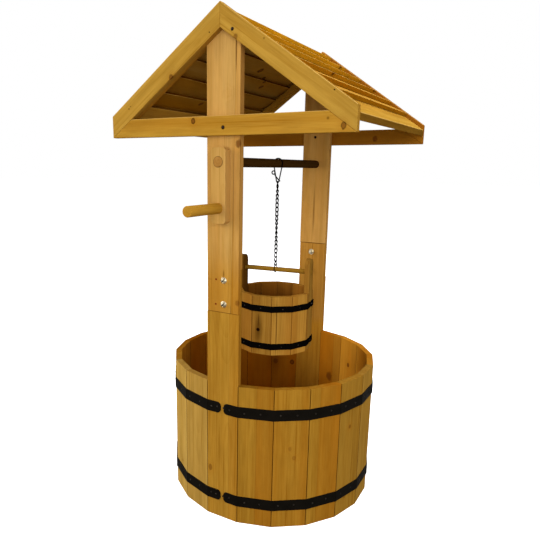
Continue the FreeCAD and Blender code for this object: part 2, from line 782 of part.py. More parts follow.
def make_bucket():
    staves = []
    half_turn = BUCKET["sides"] // 2
    for side in range(BUCKET["sides"]):
        turn = f"bucket_turn + {side} * 2 * bucket_half_angle"
        if side == 0:
            bucket_ear("bucket_ear_right", turn)
        elif side == half_turn:
            bucket_ear("bucket_ear_left", turn)
        else:
            staves.append(bucket_stave(f"bucket_stave_{side:02d}", turn))
    group("bucket_staves", staves)
    inside = "(bucket_apothem - bucket_thickness) / cos(bucket_half_angle * 1 deg)"
    base = prism("bucket_base_disc", BUCKET["sides"], inside, "bucket_base_thickness",
                 "bucket_bottom + bucket_base_recess", "bucket_turn + bucket_half_angle")
    finish_part(base, "bucket_base")
    bar = new_body("bucket_bar_dowel")
    length = pad(bar, circle(bar, "YZ_Plane", "bucket_bar_section", "0", "0", "bar_diameter"),
                 "2 * bucket_apothem")
    length.Midplane = True
    finish_part(place(bar, up="bar_height", turn="bucket_turn"), "bucket_bar")
    for level in ("upper", "lower"):
        hoop(f"bucket_{level}_hoop", BUCKET, "bucket_turn", BUCKET["sides"],
             f"bucket_bottom + bucket_{level}_hoop")


def check_and_write():
    """Stop if anything failed to build, else write one file per sub-part."""
    doc.recompute()
    for item in doc.Objects:
        if "Invalid" in item.State or "Error" in item.State:
            raise RuntimeError(f"{item.Label} did not build: {item.State}")
    os.makedirs("parts", exist_ok=True)
    for item in PARTS:
        shape = item.Shape
        if shape.isNull() or not shape.isValid() or not shape.Solids:
            raise RuntimeError(f"{item.Label} has no valid solid")
        shape.exportStep(f"parts/{item.Label}.step")
        box_size = shape.BoundBox
        print(f"{item.Label}: {len(shape.Solids)} solids, {shape.Volume / 1000:.1f} cm3, "
              f"x {box_size.XMin:.1f} to {box_size.XMax:.1f}, y {box_size.YMin:.1f} to {box_size.YMax:.1f}, "
              f"z {box_size.ZMin:.1f} to {box_size.ZMax:.1f}")


make_tub()
make_tub_hoops()
make_floor()
make_posts()
make_gables()
make_roof()
make_windlass()
make_hook()
make_chain()
make_bail_ring()
make_bucket()
check_and_write()
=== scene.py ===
import json
import math
import random

import bmesh
import bpy
from mathutils import Matrix, Vector


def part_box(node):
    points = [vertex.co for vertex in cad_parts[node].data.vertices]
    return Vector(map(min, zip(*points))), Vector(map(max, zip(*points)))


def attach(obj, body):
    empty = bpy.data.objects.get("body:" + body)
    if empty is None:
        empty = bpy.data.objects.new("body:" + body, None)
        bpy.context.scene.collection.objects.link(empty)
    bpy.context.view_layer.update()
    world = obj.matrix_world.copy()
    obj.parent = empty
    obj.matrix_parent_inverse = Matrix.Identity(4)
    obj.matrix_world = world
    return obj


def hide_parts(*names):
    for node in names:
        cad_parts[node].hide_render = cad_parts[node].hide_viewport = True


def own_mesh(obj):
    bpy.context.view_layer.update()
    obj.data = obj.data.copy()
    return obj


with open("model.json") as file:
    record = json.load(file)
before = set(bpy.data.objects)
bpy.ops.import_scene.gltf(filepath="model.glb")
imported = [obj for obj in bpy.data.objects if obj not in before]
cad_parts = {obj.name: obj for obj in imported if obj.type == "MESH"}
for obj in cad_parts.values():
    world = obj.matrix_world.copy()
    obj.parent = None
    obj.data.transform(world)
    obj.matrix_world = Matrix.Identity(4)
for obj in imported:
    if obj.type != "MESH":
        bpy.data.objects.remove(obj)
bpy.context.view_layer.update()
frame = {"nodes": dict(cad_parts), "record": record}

# Wishing well planter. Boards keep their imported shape, with eased edges and the figure of pine. The hook, the
# chain and the ring are drawn as smooth round wire, and nails and screws are added. Hoops and bolts keep their
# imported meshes. Lengths are in metres. The crank is on the -Y side and the ridge runs along Y.

MM = 0.001
BODY_OF = {node: body for body, nodes in frame["record"]["behaviour"]["bodies"].items() for node in nodes}

# How far faces lie from the well's middle: a stave's or post's two sides, the gables, the arm and the hoops
OUTER = 0.2568
INNER = 0.2408
GABLE = 0.2708
ARM = 0.2778
HOOP = 0.2588
BUCKET_HOOP = 0.09626

# The turn from one side of each ring to the next, and the turn of the bucket's first side, in degrees
TUB_STEP = 18
BUCKET_STEP = 30
BUCKET_TURN = 7

# Heights
AXLE_UP = 0.827
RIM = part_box("stave_01")[1].z
BUCKET_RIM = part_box("bucket_staves")[1].z
LAP_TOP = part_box("rear_lower_post")[1].z


def add_piece(name, mesh, body, material):
    piece = bpy.data.objects.new(name, mesh)
    bpy.context.collection.objects.link(piece)
    mesh.materials.clear()
    mesh.materials.append(material)
    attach(piece, body)
    return piece


def mesh_from(bm, name, smooth=False):
    mesh = bpy.data.meshes.new(name)
    bm.to_mesh(mesh)
    bm.free()
    if smooth:
        mesh.shade_smooth()
    return mesh


# Materials


class Tree:
    """The node tree of a new material, or of the world, whose nodes are added one at a time."""

    def __init__(self, name="", owner=None, shader="Principled BSDF"):
        self.owner = owner or bpy.data.materials.new(name)
        self.owner.use_nodes = True
        self.nodes = self.owner.node_tree.nodes
        self.links = self.owner.node_tree.links
        self.shader = self.nodes[shader]

    def set(self, socket, value):
        if isinstance(value, bpy.types.NodeSocket):
            self.links.new(value, socket)
        else:
            socket.default_value = value

    def finish(self, **inputs):
        """Sets inputs of the tree's own shader, and gives the material or world."""
        for key, value in inputs.items():
            self.set(self.shader.inputs[key.replace("_", " ")], value)
        return self.owner

    def node(self, kind, output=0, settings=(), **inputs):
        """A new node's output; inputs are set by name, or by number as i0, i1 and so on."""
        made = self.nodes.new(kind)
        for key, value in dict(settings).items():
            setattr(made, key, value)
        for key, value in inputs.items():
            index = int(key[1:]) if key[0] == "i" and key[1:].isdigit() else key.replace("_", " ")
            self.set(made.inputs[index], value)
        return made.outputs[output]

    def maths(self, operation, first, second=0.0):
        return self.node("ShaderNodeMath", settings={"operation": operation}, i0=first, i1=second)

    def total(self, first, *others):
        """The sum of some values."""
        for value in others:
            first = self.maths("ADD", first, value)
        return first

    def most(self, values):
        """The highest of some masks, 0 where there are none."""
        highest = 0.0
        for value in values:
            highest = self.maths("MAXIMUM", highest, value)
        return highest

    def share(self, value):
        """The value kept between 0 and 1."""
        return self.maths("MINIMUM", self.maths("MAXIMUM", value, 0.0), 1.0)

    def off(self, value, level):
        """How far the value is from a level."""
        return self.maths("ABSOLUTE", self.maths("SUBTRACT", value, level))

    def vector(self, operation, first, second=(0, 0, 0), output=0):
        return self.node("ShaderNodeVectorMath", output, {"operation": operation}, i0=first, i1=second)

    def part(self, vector, index):
        """The vector's X, Y or Z."""
        return self.node("ShaderNodeSeparateXYZ", index, Vector=vector)

    def mix(self, share, first, second, blend="MIX"):
        made = self.nodes.new("ShaderNodeMix")
        made.data_type = "RGBA"
        made.blend_type = blend
        for index, value in ((0, share), (6, first), (7, second)):
            self.set(made.inputs[index], value)
        return made.outputs[2]

    def multiplied(self, colour, dye):
        """The colour multiplied by another colour, such as a stain, a board's tone, or painted shade."""
        return self.mix(1.0, colour, dye, "MULTIPLY")

    def ramp(self, share, low, high, start=0.0, end=1.0):
        """Start up to low, end beyond high, and a smooth step between them."""
        return self.node("ShaderNodeMapRange", settings={"interpolation_type": "SMOOTHSTEP"},
                         i0=share, i1=low, i2=high, i3=start, i4=end)

    def noise(self, vector, scale, detail=2.0, roughness=0.5):
        return self.node("ShaderNodeTexNoise", Vector=vector, Scale=scale, Detail=detail, Roughness=roughness)

    def figure(self, grain, per_metre, detail, roughness=0.5):
        """Noise that repeats so often per metre along the grain, across the board and through it."""
        return self.noise(self.vector("MULTIPLY", grain, per_metre), 1.0, detail, roughness)

    def bump(self, strength, height):
        return self.node("ShaderNodeBump", Strength=strength, Distance=0.0003, Height=height)

    def attribute(self, name, output):
        return self.node("ShaderNodeAttribute", output, {"attribute_name": name})

    def place(self):
        """The point in the row frame."""
        return self.node("ShaderNodeTexCoord", "Object")


def rgb(red, green, blue):
    """A colour as the eye reads it, 0 to 255, turned into the linear colour that nodes use."""
    linear = [(value / 255 / 12.92) if value < 10.3 else ((value / 255 + 0.055) / 1.055) ** 2.4
              for value in (red, green, blue)]
    return (*linear, 1.0)


# Dark lines: glue lines and splits, and painted shade in the joints between staves, along the lap joints and in
# the gap around the axle's end
DARK_LINE_AND_SHADE = rgb(52, 20, 4)
# Cut sides are multiplied by this for their darker edge grain; the bucket's inside faces get it as painted
# shade
EDGE_STAIN_AND_SHADE = rgb(200, 164, 110)
# The slats' butts: darker edge grain, and painted shade on their down-facing faces
SLAT_BUTT_STAIN_AND_SHADE = rgb(212, 200, 96)
# Painted shade on the eave boards' down-facing cut faces
EAVE_SIDE_SHADE = rgb(166, 158, 146)
# Painted highlight on the eased upper edges of roof boards
EDGE_HIGHLIGHT = rgb(226, 184, 108)
STAIN = rgb(158, 150, 132)
AGED = rgb(236, 220, 160)
PALE_LIGHT = rgb(188, 152, 78)
PALE_DARK = rgb(160, 122, 50)
BARE_LIGHT = rgb(184, 134, 66)
BARE_DARK = rgb(150, 98, 38)
KNOT = rgb(100, 48, 16)
KNOT_RING = rgb(48, 18, 5)
# Painted shade inside holes and screw slots
RECESS_SHADE = rgb(24, 6, 3)
BORE = rgb(112, 26, 12)

# The figure of pine: how often it repeats per metre along the grain, across the board and through it
BROAD_STREAKS = (1.6, 44.0, 44.0)
RESIN_STREAKS = (3.0, 210.0, 210.0)
FIBRE = (16.0, 640.0, 640.0)
MOTTLE = (9.0, 36.0, 36.0)
HUE_DRIFT = (0.9, 17.0, 17.0)
RING_DRIFT = (1.6, 7.0, 7.0)
RINGS_PER_METRE = 330.0
PITH_DEPTH = 0.05

# What a face's "side" holds, beside 0 for the flat of a board: an eased upper edge with a painted highlight,
# a cut side, darker for its edge grain and on some boards as painted shade, and the side that a stave of a ring
# turns to its neighbour, painted dark as the shade in the joint
HIGHLIT_SIDE = -1.0
CUT_AND_SHADED_SIDE = 0.5
SEAM_SHADE_SIDE = 1.0

MARK_KINDS = ("core", "ring", "bend", "hole", "bore", "crack", "stain", "aged", "bare", "gap")
SOFT_FROM = {"stain": 0.0, "aged": 0.4, "bare": 0.97}


def mark_masks(tree, marks):
    """Masks by kind for (kind, centre, radii, strength) marks, in metres in the row frame.

    A knot has a core, a ring and bent grain around it. The other kinds are hole, painted dark as the shade
    inside it, a red bore, a thin dark line for splits and for painted shadow along the lap joints, grey stain,
    golden aged wood, bare for a clean end, and gap for a thin ring of painted shadow in a gap."""
    place = tree.place()
    masks = {kind: [] for kind in MARK_KINDS}
    ragged = tree.maths("SUBTRACT", tree.noise(place, 170.0, 2.0, 0.6), 0.5)
    for kind, centre, radii, strength in marks:
        per_radius = tuple(1 / radius for radius in radii)
        offset = tree.vector("SUBTRACT", place, centre)
        reach = tree.vector("LENGTH", tree.vector("MULTIPLY", offset, per_radius), output=1)
        if kind == "knot":
            reach = tree.total(reach, tree.maths("MULTIPLY", ragged, 0.9))
            masks["core"].append(tree.ramp(reach, 0.7, 1.0, strength, 0.0))
            masks["ring"].append(tree.ramp(tree.off(reach, 1.0), 0.0, 0.42, strength, 0.0))
            masks["bend"].append(tree.ramp(reach, 0.9, 4.2, strength, 0.0))
        # A thin ring of painted shadow, as in the gap around the axle's end
        elif kind == "gap":
            masks["gap"].append(tree.ramp(tree.off(reach, 1.0), 0.03, 0.08, strength, 0.0))
        else:
            masks[kind].append(tree.ramp(reach, SOFT_FROM.get(kind, 0.6), 1.1, strength, 0.0))
    return {kind: tree.most(values) for kind, values in masks.items()}


def late_wood(tree, grain, bend):
    """The dark part of growth rings that lie around a pith behind the board and bend around its knots."""
    across = tree.part(grain, 1)
    depth = tree.maths("ADD", tree.part(grain, 2), PITH_DEPTH)
    squares = tree.total(tree.maths("POWER", across, 2.0), tree.maths("POWER", depth, 2.0))
    off_pith = tree.maths("SQRT", squares)
    drift = tree.figure(grain, RING_DRIFT, 1.5)
    warped = tree.total(off_pith, tree.maths("MULTIPLY", drift, 0.045), tree.maths("MULTIPLY", bend, 0.012))
    return tree.maths("POWER", tree.maths("FRACT", tree.maths("MULTIPLY", warped, RINGS_PER_METRE)), 3.0)


def dark_share(tree, grain, late, fibre):
    """How much of the wood's dark colour shows."""
    broad = tree.ramp(tree.figure(grain, BROAD_STREAKS, 3.0, 0.8), 0.3, 0.72)
    resin = tree.ramp(tree.figure(grain, RESIN_STREAKS, 2.0), 0.58, 0.74)
    parts = ((broad, 0.55), (late, 0.16), (resin, 0.5), (tree.maths("SUBTRACT", fibre, 0.5), 0.7))
    return tree.share(tree.total(*(tree.maths("MULTIPLY", value, weight) for value, weight in parts)))


def board_colour(tree, grain, share, hue, light, dark, warm):
    """The wood of one board, by its tone and warmth, with a warmer second strip beyond its glue line."""
    tint = tree.attribute("tint", 1)
    tone, warmth, beyond_glue = (tree.part(tint, index) for index in range(3))
    second_strip = tree.maths("MULTIPLY", tree.ramp(beyond_glue, -0.0001, 0.0001), 0.3)
    warm_share = tree.share(tree.total(tree.ramp(hue, 0.4, 0.75, 0.0, 0.35), warmth, second_strip))
    colour = tree.mix(warm_share, tree.mix(share, light, dark), warm)
    pale_share = tree.ramp(warmth, -1.0, 0.0, 1.0, 0.0)
    colour = tree.mix(pale_share, colour, tree.mix(share, PALE_LIGHT, PALE_DARK))
    mottle = tree.ramp(tree.figure(grain, MOTTLE, 3.0, 0.7), 0.3, 0.7, 0.93, 1.07)
    # A board's tone scales its brightness; some tones hold painted light and some painted shade
    bright = tree.maths("MULTIPLY", mottle, tree.maths("ADD", 1.0, tree.maths("MULTIPLY", tone, 0.2)))
    colour = tree.multiplied(colour, tree.node("ShaderNodeCombineXYZ", X=bright, Y=bright, Z=bright))
    return tree.mix(tree.ramp(tree.maths("ABSOLUTE", beyond_glue), 0.0001, 0.0005, 0.45, 0.0), colour, DARK_LINE_AND_SHADE)


def marked_colour(tree, colour, share, hue, warm, mask):
    """The colour with its marks, the smallest and darkest on top."""
    colour = tree.mix(tree.maths("MULTIPLY", mask["bend"], 0.25), colour, warm)
    colour = tree.mix(mask["stain"], colour, tree.multiplied(colour, STAIN))
    colour = tree.mix(mask["aged"], colour, tree.multiplied(colour, AGED))
    colour = tree.mix(mask["bare"], colour, tree.mix(share, BARE_LIGHT, BARE_DARK))
    colour = tree.mix(tree.maths("MULTIPLY", mask["core"], 0.7), colour, KNOT)
    ring = tree.maths("MULTIPLY", mask["ring"], tree.ramp(hue, 0.3, 0.7, 0.35, 0.85))
    colour = tree.mix(ring, colour, KNOT_RING)
    # Splits, and painted shadow along the lap joints and in the gap around the axle's end
    split = tree.maths("MAXIMUM", mask["crack"], mask["gap"])
    colour = tree.mix(tree.maths("MULTIPLY", split, 0.75), colour, DARK_LINE_AND_SHADE)
    colour = tree.mix(mask["bore"], colour, BORE)
    # Holes are painted dark as the shade inside them
    return tree.mix(mask["hole"], colour, RECESS_SHADE)


def pine(name, light, dark, warm, marks=(), cut_and_shade_share=0.25, seam_shade_share=1.0, cut_stain_and_shade=EDGE_STAIN_AND_SHADE, highlight_share=0.0):
    """Varnished pine with its figure and marks; shares set how far cut sides darken, partly as painted shade,
    how dark seams are painted as joint shade, and how bright eased upper edges get as a painted highlight.
    """
    tree = Tree(name)
    grain = tree.attribute("grain", 1)
    side = tree.attribute("side", 2)
    mask = mark_masks(tree, marks)
    hue = tree.figure(grain, HUE_DRIFT, 1.0)
    fibre = tree.figure(grain, FIBRE, 2.0, 0.65)
    late = late_wood(tree, grain, mask["bend"])
    share = dark_share(tree, grain, late, fibre)
    colour = board_colour(tree, grain, share, hue, light, dark, warm)
    colour = marked_colour(tree, colour, share, hue, warm, mask)
    # Cut sides darker for their edge grain; on the eave boards, the slats' butts and the bucket's inside this
    # is painted shade
    colour = tree.mix(tree.ramp(side, 0.2, 0.3, 0.0, cut_and_shade_share), colour, tree.multiplied(colour, cut_stain_and_shade))
    # Painted highlight on eased upper edges
    colour = tree.mix(tree.ramp(side, -0.9, -0.6, highlight_share, 0.0), colour, EDGE_HIGHLIGHT)
    # Painted shade in the joints between staves
    colour = tree.mix(tree.ramp(side, 0.8, 0.9, 0.0, seam_shade_share), colour, DARK_LINE_AND_SHADE)
    raised = tree.total(tree.maths("MULTIPLY", late, 0.5), tree.maths("MULTIPLY", fibre, 0.6))
    sunk = tree.total(tree.maths("MULTIPLY", mask["hole"], 3.0), mask["crack"])
    return tree.finish(Base_Color=colour, Roughness=tree.ramp(fibre, 0.3, 0.7, 0.39, 0.53),
                       Normal=tree.bump(0.2, tree.maths("SUBTRACT", raised, sunk)), Specular_IOR_Level=0.0)


def painted_steel(name, base, worn, roughness, relief=0.3, specular=0.0):
    """Black paint on strip or wire, a little uneven and worn."""
    tree = Tree(name)
    place = tree.place()
    cloud = tree.noise(place, 38.0, 4.0, 0.6)
    speck = tree.noise(place, 420.0, 2.0)
    wear = tree.ramp(speck, 0.62, 0.78, 0.0, 0.5)
    return tree.finish(Base_Color=tree.mix(wear, tree.mix(cloud, base, worn), worn),
                       Roughness=tree.ramp(cloud, 0.3, 0.7, roughness - 0.08, roughness + 0.1),
                       Normal=tree.bump(relief, tree.maths("ADD", cloud, speck)), Specular_IOR_Level=specular)


def bare_steel(name, base, shade, roughness, slots=()):
    """Metal with faint cloudy spangle; slots are (middle, direction across) of screw slots, painted dark as
    the shade inside them.
    """
    tree = Tree(name)
    place = tree.place()
    masks = []
    for middle, across in slots:
        offset = tree.vector("SUBTRACT", place, middle)
        beside = tree.maths("ABSOLUTE", tree.vector("DOT_PRODUCT", offset, across, output=1))
        near = tree.ramp(tree.vector("LENGTH", offset, output=1), 0.0070, 0.0075, 1.0, 0.0)
        masks.append(tree.maths("MULTIPLY", tree.ramp(beside, 0.0007, 0.0013, 1.0, 0.0), near))
    cells = tree.node("ShaderNodeTexVoronoi", Vector=place, Scale=700.0)
    colour = tree.mix(tree.ramp(tree.noise(place, 160.0, 3.0), 0.35, 0.7), base, shade)
    # The slots are painted dark as the shade inside them
    return tree.finish(Base_Color=tree.mix(tree.most(masks), colour, RECESS_SHADE), Metallic=1.0,
                       Roughness=tree.ramp(cells, 0.0, 0.6, roughness, roughness + 0.12))


# Boards

MERGE = 0.00001
FLAT_ANGLE = math.radians(0.6)
SHARP_ANGLE = math.radians(24)


def islands(bm):
    """Groups of faces that hang together, one group per board, from the highest board down."""
    left = set(bm.faces)
    found = []
    while left:
        stack = [next(iter(left))]
        group = set(stack)
        while stack:
            for edge in stack.pop().edges:
                for other in edge.link_faces:
                    if other not in group:
                        group.add(other)
                        stack.append(other)
        left -= group
        found.append(sorted(group, key=lambda face: face.index))
    found.sort(key=lambda group: group[0].index)
    return sorted(found, key=lambda group: -round(max(vert.co.z for face in group for vert in face.verts), 3))


def clean_copy(node, sector=None):
    """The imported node's mesh with its flat faces whole again; a ring of staves is parted by its sectors."""
    bm = bmesh.new()
    bm.from_mesh(frame["nodes"][node].data)
    bmesh.ops.remove_doubles(bm, verts=bm.verts, dist=MERGE)
    if sector:
        groups = {}
        for face in bm.faces:
            inside = face.calc_center_median() - face.normal * 2 * MM
            groups.setdefault(sector(inside), []).append(face)
        for faces in groups.values():
            bmesh.ops.split(bm, geom=faces)
    bmesh.ops.dissolve_limit(bm, angle_limit=FLAT_ANGLE, verts=bm.verts, edges=bm.edges)
    bm.faces.index_update()
    return bm


def board_axes(faces, grain=None):
    """Unit vectors along the grain, across the board and through its thickness."""
    if grain is None:
        edge = max({edge for face in faces for edge in face.edges}, key=lambda edge: edge.calc_length())
        grain = (edge.verts[1].co - edge.verts[0].co).normalized()
        if grain.dot(Vector((0.3, 0.5, 0.8))) < 0:
            grain = -grain
    sides = (face for face in faces if abs(face.normal.dot(grain)) < 0.5)
    flat = max(sides, key=lambda face: face.calc_area())
    depth = (flat.normal - grain * flat.normal.dot(grain)).normalized()
    return grain, grain.cross(depth), depth


def cut_at_rim(bm, rim):
    """Cuts the faces of a stave that stands above the rim, so that its sides get the painted joint shade of
    seams below it only.
    """
    if max(vert.co.z for vert in bm.verts) > rim + 1 * MM:
        whole = bm.verts[:] + bm.edges[:] + bm.faces[:]
        bmesh.ops.bisect_plane(bm, geom=whole, dist=MERGE, plane_co=(0, 0, rim), plane_no=(0, 0, 1))


def press_feet(bm, gap):
    """Lowers the foot of each lapped board but the lowest by the gap, so that it rests on the board below."""
    for faces in islands(bm)[:-1]:
        depth = board_axes(faces)[2]
        corners = {vert for face in faces for vert in face.verts}
        foot = min(vert.co.z for vert in corners)
        for vert in corners:
            if vert.co.z < foot + 0.1 * MM:
                vert.co -= depth * math.copysign(gap, depth.z)
    bm.normal_update()


def board_facts(bm, node, grain, tones, sector):
    """For each board its axes, centre, shift in the figure and (tone, warmth); its faces get its number."""
    seed = random.Random(node)
    facts = []
    for index, faces in enumerate(islands(bm)):
        axes = board_axes(faces, Vector(grain) if grain else None)
        centre = sum((face.calc_center_median() for face in faces), Vector()) / len(faces)
        shift = Vector((seed.uniform(0, 9), seed.uniform(-0.035, 0.035), seed.uniform(-0.03, 0.03)))
        shades = (seed.uniform(-0.6, 0.6), seed.uniform(-0.1, 0.25))
        if tones:
            shades = tones[sector(centre) if sector else index]
        facts.append((axes, centre, shift, shades))
        for face in faces:
            face.material_index = index
    return facts


def between_staves(face):
    """True for the faces of a ring's stave that look at its neighbour."""
    outwards = face.calc_center_median()
    outwards.z = 0
    flat = face.normal.copy()
    flat.z = 0
    return flat.length > 0.9 and abs(flat.normalized().dot(outwards.normalized())) < 0.93


def side_of(face, node, axes, centre, eased, rim):
    """Whether a face is a seam with painted joint shade, a cut side or inside face darkened partly as painted
    shade, an eased upper edge along the grain with a painted highlight, or the flat of its board.
    """
    # Seams are painted dark as the shade in the joints between staves
    if rim and face.calc_center_median().z < rim and between_staves(face):
        return SEAM_SHADE_SIDE
    # The bucket's inside faces are darkened as painted shade
    if rim == BUCKET_RIM:
        inwards = face.normal.x * centre.x + face.normal.y * centre.y < -0.8 * centre.xy.length
        return CUT_AND_SHADED_SIDE if inwards and not node.startswith("bucket_ear") else 0.0
    # Eased upper edges along the grain get a painted highlight
    if face in eased and face.normal.z > -0.2 and abs(face.normal.dot(axes[0])) < 0.2:
        return HIGHLIT_SIDE
    # Cut sides, darker for edge grain; on the eave boards and the slats' butts the darkening is also painted
    # shade
    return CUT_AND_SHADED_SIDE if abs(face.normal.dot(axes[2])) < 0.7 else 0.0


def board_piece(node, material, soften=0.9 * MM, grain=None, tones=None, glue=None, rim=None, sector=None,
                press=0.0):
    """The node's boards with eased edges; each board carries its own grain directions, figure and tone.

    tones holds (tone, warmth) per board or per sector. glue is a point and a direction, and the board's
    second strip lies beyond it. Below a rim, the sides of a ring's staves are seams, painted dark as joint
    shade. press is a gap to close under laps."""
    bm = clean_copy(node, sector)
    if rim:
        cut_at_rim(bm, rim)
    if press:
        press_feet(bm, press)
    where = bm.verts.layers.float_vector.new("grain")
    tint = bm.verts.layers.float_vector.new("tint")
    side = bm.faces.layers.float.new("side")
    facts = board_facts(bm, node, grain, tones, sector)
    sharp = [edge for edge in bm.edges
             if len(edge.link_faces) == 2 and edge.calc_face_angle(0.0) > SHARP_ANGLE]
    eased = set(bmesh.ops.bevel(bm, geom=sharp, offset=soften, segments=2, profile=0.5, affect="EDGES",
                                clamp_overlap=True)["faces"])
    for face in bm.faces:
        axes, centre, shift, (tone, warmth) = facts[face.material_index]
        for vert in face.verts:
            offset = vert.co - centre
            vert[where] = shift + Vector(tuple(axis.dot(offset) for axis in axes))
            beyond = (vert.co - Vector(glue[0])).dot(Vector(glue[1])) if glue else -1.0
            vert[tint] = Vector((tone, warmth, beyond))
        face[side] = side_of(face, node, axes, centre, eased, rim)
        face.material_index = 0
    piece = add_piece(node + "_boards", mesh_from(bm, node + "_look"), BODY_OF[node], material)
    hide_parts(node)
    return piece


def bucket_sector(point):
    """Which of the bucket's twelve sides a point belongs to, by its turn in degrees."""
    turn = math.degrees(math.atan2(point.y, point.x))
    return (BUCKET_TURN + BUCKET_STEP * round((turn - BUCKET_TURN) / BUCKET_STEP) + 180) % 360 - 180


def ring_face(turn, across, up, apothem):
    """A point on the ring's face that looks along turn, in degrees; across is counter-clockwise."""
    angle = math.radians(turn)
    out = Vector((math.cos(angle), math.sin(angle), 0))
    return out * apothem + Vector((-out.y, out.x, 0)) * across + Vector((0, 0, up)), out


def strip_edge(turn, across):
    """Where the second glued strip of the stave that looks along turn begins."""
    point, out = ring_face(turn, across, 0, OUTER)
    return tuple(point), (-out.y, out.x, 0)


def knot(x, y, z, radius, height=1.15, strength=1.0):
    return "knot", (x, y, z), (radius, radius, radius * height), strength


def hole(x, y, z, radius):
    return "hole", (x, y, z), (radius, radius, radius), 1.0


# Knots, pilot holes, holes painted dark as the shade inside them, resin streaks, small splits, and painted
# shadow along the lap joints and in the gap around the axle's end, by place

TUB_MARKS = (
    knot(-0.0327, -OUTER, 0.1228, 0.0042, 1.6, 0.7), knot(0.1497, -0.2087, 0.1997, 0.0032, 1.4, 0.4),
    knot(0.1577, -0.2028, 0.1767, 0.0036, 1.3, 0.45), knot(0.2440, -0.0799, 0.2237, 0.0036, 1.2, 0.8),
    knot(-0.1465, -0.2110, 0.0844, 0.0026, 1.2, 0.6), knot(0.2422, -0.0855, 0.0395, 0.0026, 1.2, 0.6),
    knot(-0.0988, 0.2211, 0.2278, 0.0062), knot(-0.0499, 0.2370, 0.2290, 0.0056),
    knot(0.0756, 0.2286, 0.2115, 0.0085, 1.3), knot(0.1431, 0.1937, 0.2708, 0.0045),
    knot(-0.2210, -0.1010, 0.1500, 0.0060), knot(0.0200, OUTER, 0.1900, 0.0070),
    knot(-0.1750, 0.1880, 0.2050, 0.0060),
    ("stain", (-0.0988, 0.2211, 0.2400), (0.030, 0.030, 0.070), 0.5),
    ("crack", (0.0000, INNER, 0.5940), (0.0006, 0.002, 0.012), 1.0),
    # Painted shadow along the lap joint
    ("crack", (0.0000, INNER, LAP_TOP), (0.060, 0.003, 0.0016), 1.0),
    ("bare", (0.0000, OUTER, 0.6200), (0.240, 0.240, 0.240), 0.45),
)
POST_MARKS = (
    knot(0.0362, -OUTER, 0.8630, 0.0062), knot(0.0372, -OUTER, 0.5331, 0.0050, 1.1, 0.7),
    ("bore", (-0.0170, -OUTER, 0.5802), (0.0026, 0.0026, 0.0026), 1.0),
    ("bore", (-0.0178, -OUTER, 0.5250), (0.0026, 0.0026, 0.0026), 1.0),
    ("crack", (0.0291, -OUTER, 1.0400), (0.0016, 0.003, 0.046), 0.9),
    ("crack", (0.0250, -OUTER, 0.7600), (0.0006, 0.003, 0.120), 0.6),
    ("crack", (-0.0330, -OUTER, 0.5790), (0.006, 0.003, 0.0007), 0.6),
    ("stain", (0.0020, -OUTER, 0.5935), (0.003, 0.003, 0.012), 0.8),
    ("aged", (0.0000, -OUTER, 0.4900), (0.200, 0.200, 0.170), 1.0),
    # Painted shadow under the upper post's lower edge at the lap joint
    ("crack", (0.0000, -OUTER, 0.5075), (0.060, 0.003, 0.0012), 0.9),
    ("crack", (0.0205, -OUTER, 0.5150), (0.0008, 0.003, 0.014), 0.8),
    hole(-0.0043, INNER, 0.9002, 0.0042), ("crack", (-0.0010, INNER, 0.5960), (0.0007, 0.003, 0.009), 1.0),
    knot(-0.0180, OUTER, 0.7000, 0.0070), knot(0.0140, -INNER, 0.9600, 0.0060),
    ("stain", (0.0000, INNER, 0.7000), (0.004, 0.004, 0.090), 0.8),
    # Painted shadow along the lap joint
    ("crack", (0.0000, INNER, LAP_TOP), (0.060, 0.003, 0.0010), 1.0),
    # Painted shadow in the gap around the axle's end
    ("gap", (0.0, -ARM, AXLE_UP), (0.0109, 0.0109, 0.0109), 0.8),
)
ROOF_MARKS = (
    knot(-0.0637, -GABLE, 0.9083, 0.0042), knot(0.2582, -GABLE, 0.8900, 0.0040, 1.5, 0.9),
    knot(0.0353, -GABLE, 1.0580, 0.0040, 1.1, 0.8), knot(-0.1182, -GABLE, 0.9962, 0.0044, 1.1, 1.0),
    knot(0.1599, OUTER, 0.8934, 0.0056), knot(-0.0760, 0.0427, 1.0514, 0.0070),
    knot(-0.0941, 0.0972, 1.0377, 0.0060), knot(-0.1127, 0.1163, 1.0241, 0.0060),
    knot(-0.1881, -0.0561, 0.9683, 0.0060), knot(0.0686, 0.2146, 1.0785, 0.0070),
    knot(0.1536, 0.2404, 1.0185, 0.0070), knot(0.1500, -0.0600, 1.0190, 0.0075),
    knot(-0.1600, 0.1700, 1.0130, 0.0080), knot(-0.0500, -0.1400, 1.0900, 0.0070),
    hole(0.0281, -GABLE, 1.0722, 0.0041), hole(0.0078, -GABLE, 0.8939, 0.0047),
    hole(-0.0239, -GABLE, 1.0718, 0.0016), hole(-0.2294, -GABLE, 0.9442, 0.0013),
    hole(-0.2340, -GABLE, 0.9392, 0.0016), hole(0.2381, -GABLE, 0.9510, 0.0016),
    hole(0.1083, 0.1645, 1.0398, 0.0022),
    ("stain", (0.2284, -GABLE, 0.9036), (0.004, 0.003, 0.004), 0.9),
    ("stain", (0.0963, -GABLE, 1.0491), (0.003, 0.003, 0.003), 0.9),
)
